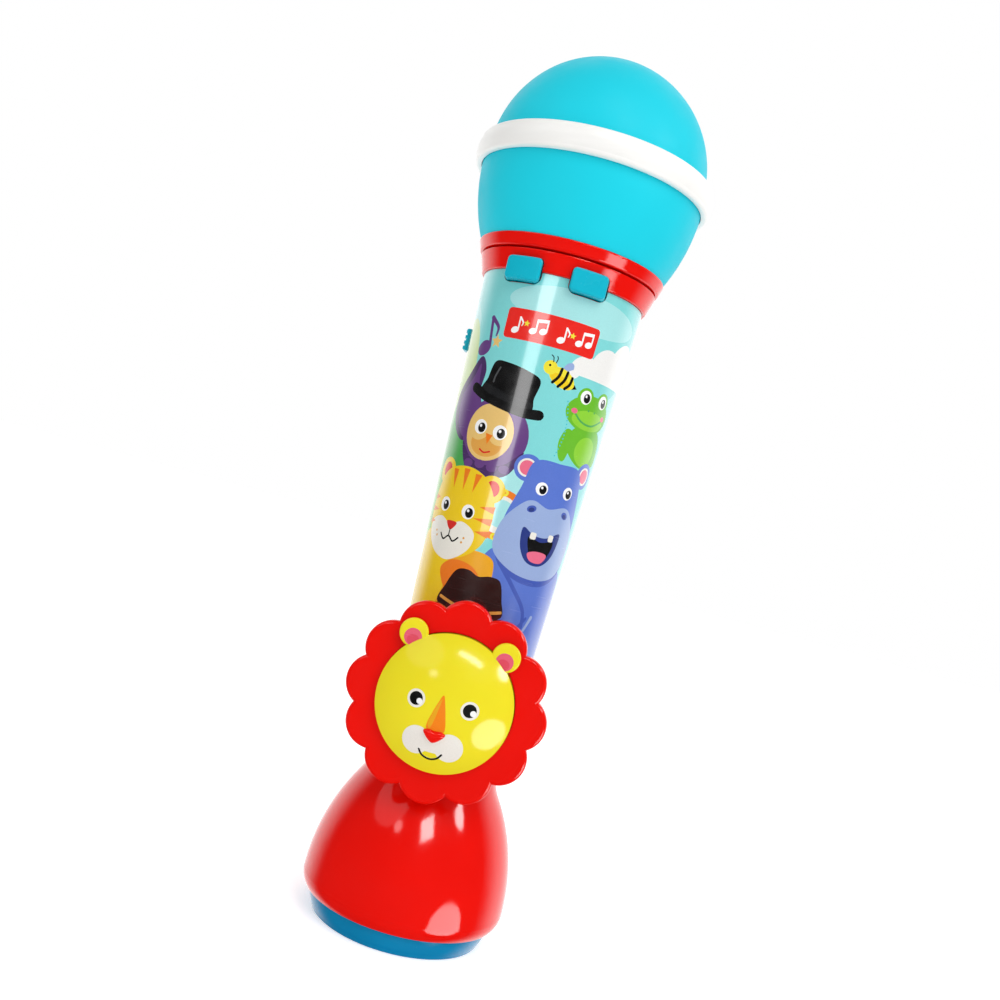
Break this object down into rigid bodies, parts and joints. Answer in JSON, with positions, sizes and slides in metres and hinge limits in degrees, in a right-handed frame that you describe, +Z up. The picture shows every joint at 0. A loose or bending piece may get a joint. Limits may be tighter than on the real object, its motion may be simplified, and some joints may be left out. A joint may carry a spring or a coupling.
{
  "type": "toy microphone",
  "caption": "Toy microphone on a bell-shaped base with a round lion face that presses in, push buttons, a side slide switch and a screwed battery door underneath.",
  "frame": {"origin": "centre of the foot's resting plane, on the axis of the microphone", "axes": "+Z up along the axis towards the head, -Y to the front (the lion face and the push buttons), +X to the right seen from the front"},
  "size_m": [0.066, 0.0677, 0.24],
  "materials": {
    "red_shell": "gloss, injection moulded",
    "printed_film": "printed clear-coated film",
    "head_cyan": "satin, fine moulded texture",
    "white_band": "gloss",
    "foot_blue": "satin",
    "face_yellow": "high gloss with printed features",
    "nose_red": "gloss",
    "button_teal": "gloss",
    "inner_plastic": "matte",
    "battery_box_plastic": "matte",
    "silicone": "translucent",
    "boot_rubber": "matte",
    "screw_steel": "zinc plated",
    "spring_steel": "drawn wire",
    "contact_nickel": "nickel plated",
    "can_steel": "drawn sheet",
    "capsule_aluminium": "satin",
    "magnet_black": "matte",
    "cone_paper": "pressed paper",
    "gasket_foam": "foam",
    "board_green": "solder mask",
    "epoxy_black": "cast epoxy",
    "led_lens": "water clear",
    "cell_jacket": "plain wrapped jacket",
    "wire_red": "PVC",
    "wire_black": "PVC",
    "wire_white": "PVC",
    "wire_grey": "PVC"
  },
  "bodies": {
    "casing": {"front_casing": "red_shell", "rear_casing": "red_shell", "casing_screws": "screw_steel", "barrel_label": "printed_film", "neck_ring": "red_shell", "head_cup": "head_cyan", "head_screws": "screw_steel", "head_band": "white_band", "head_dome": "head_cyan", "capsule_bracket": "inner_plastic", "capsule_boot": "boot_rubber", "microphone_capsule": "capsule_aluminium", "left_button_pad": "silicone", "right_button_pad": "silicone", "slide_switch": "can_steel", "mane_plate": "red_shell", "mane_screws": "screw_steel", "face_spring": "spring_steel", "face_pad": "silicone", "face_board": "board_green", "face_board_screws": "screw_steel", "face_led": "led_lens", "main_board": "board_green", "sound_chip": "epoxy_black", "board_parts": "can_steel", "speaker_basket": "can_steel", "speaker_cone": "cone_paper", "speaker_magnet": "magnet_black", "speaker_gasket": "gasket_foam", "battery_box": "battery_box_plastic", "battery_box_screws": "screw_steel", "battery_cells": "cell_jacket", "battery_contacts": "contact_nickel", "base_foot": "foot_blue", "foot_screws": "screw_steel", "positive_lead": "wire_red", "negative_lead": "wire_black", "face_leads": "wire_white", "speaker_leads": "wire_grey", "microphone_lead": "wire_grey"},
    "left_button": {"left_button": "button_teal"},
    "right_button": {"right_button": "button_teal"},
    "switch": {"switch_knob": "button_teal", "switch_lever": "inner_plastic"},
    "face": {"face_dome": "face_yellow", "face_nose": "nose_red"},
    "door": {"battery_door": "foot_blue", "battery_door_screws": "screw_steel", "door_contacts": "contact_nickel", "door_springs": "spring_steel"}
  },
  "joints": [
    {"name": "left_button_press", "type": "slide", "parent": "casing", "child": "left_button", "axis": [0, 1, 0], "range_m": [0, 0.0012], "stiffness_N_per_m": 600, "springref_m": -0.0004, "deforming": ["left_button_pad"]},
    {"name": "right_button_press", "type": "slide", "parent": "casing", "child": "right_button", "axis": [0, 1, 0], "range_m": [0, 0.0012], "stiffness_N_per_m": 600, "springref_m": -0.0004, "deforming": ["right_button_pad"]},
    {"name": "power_switch_slide", "type": "slide", "parent": "casing", "child": "switch", "axis": [0, 0, 1], "range_m": [0, 0.003]},
    {"name": "face_press", "type": "slide", "parent": "casing", "child": "face", "axis": [0, 1, 0], "range_m": [0, 0.001], "stiffness_N_per_m": 1200, "springref_m": -0.0005, "deforming": ["face_spring", "face_pad"]},
    {"name": "battery_door_lift", "type": "slide", "parent": "casing", "child": "door", "axis": [0, 0, -1], "range_m": [0, 0.02]}
  ]
}
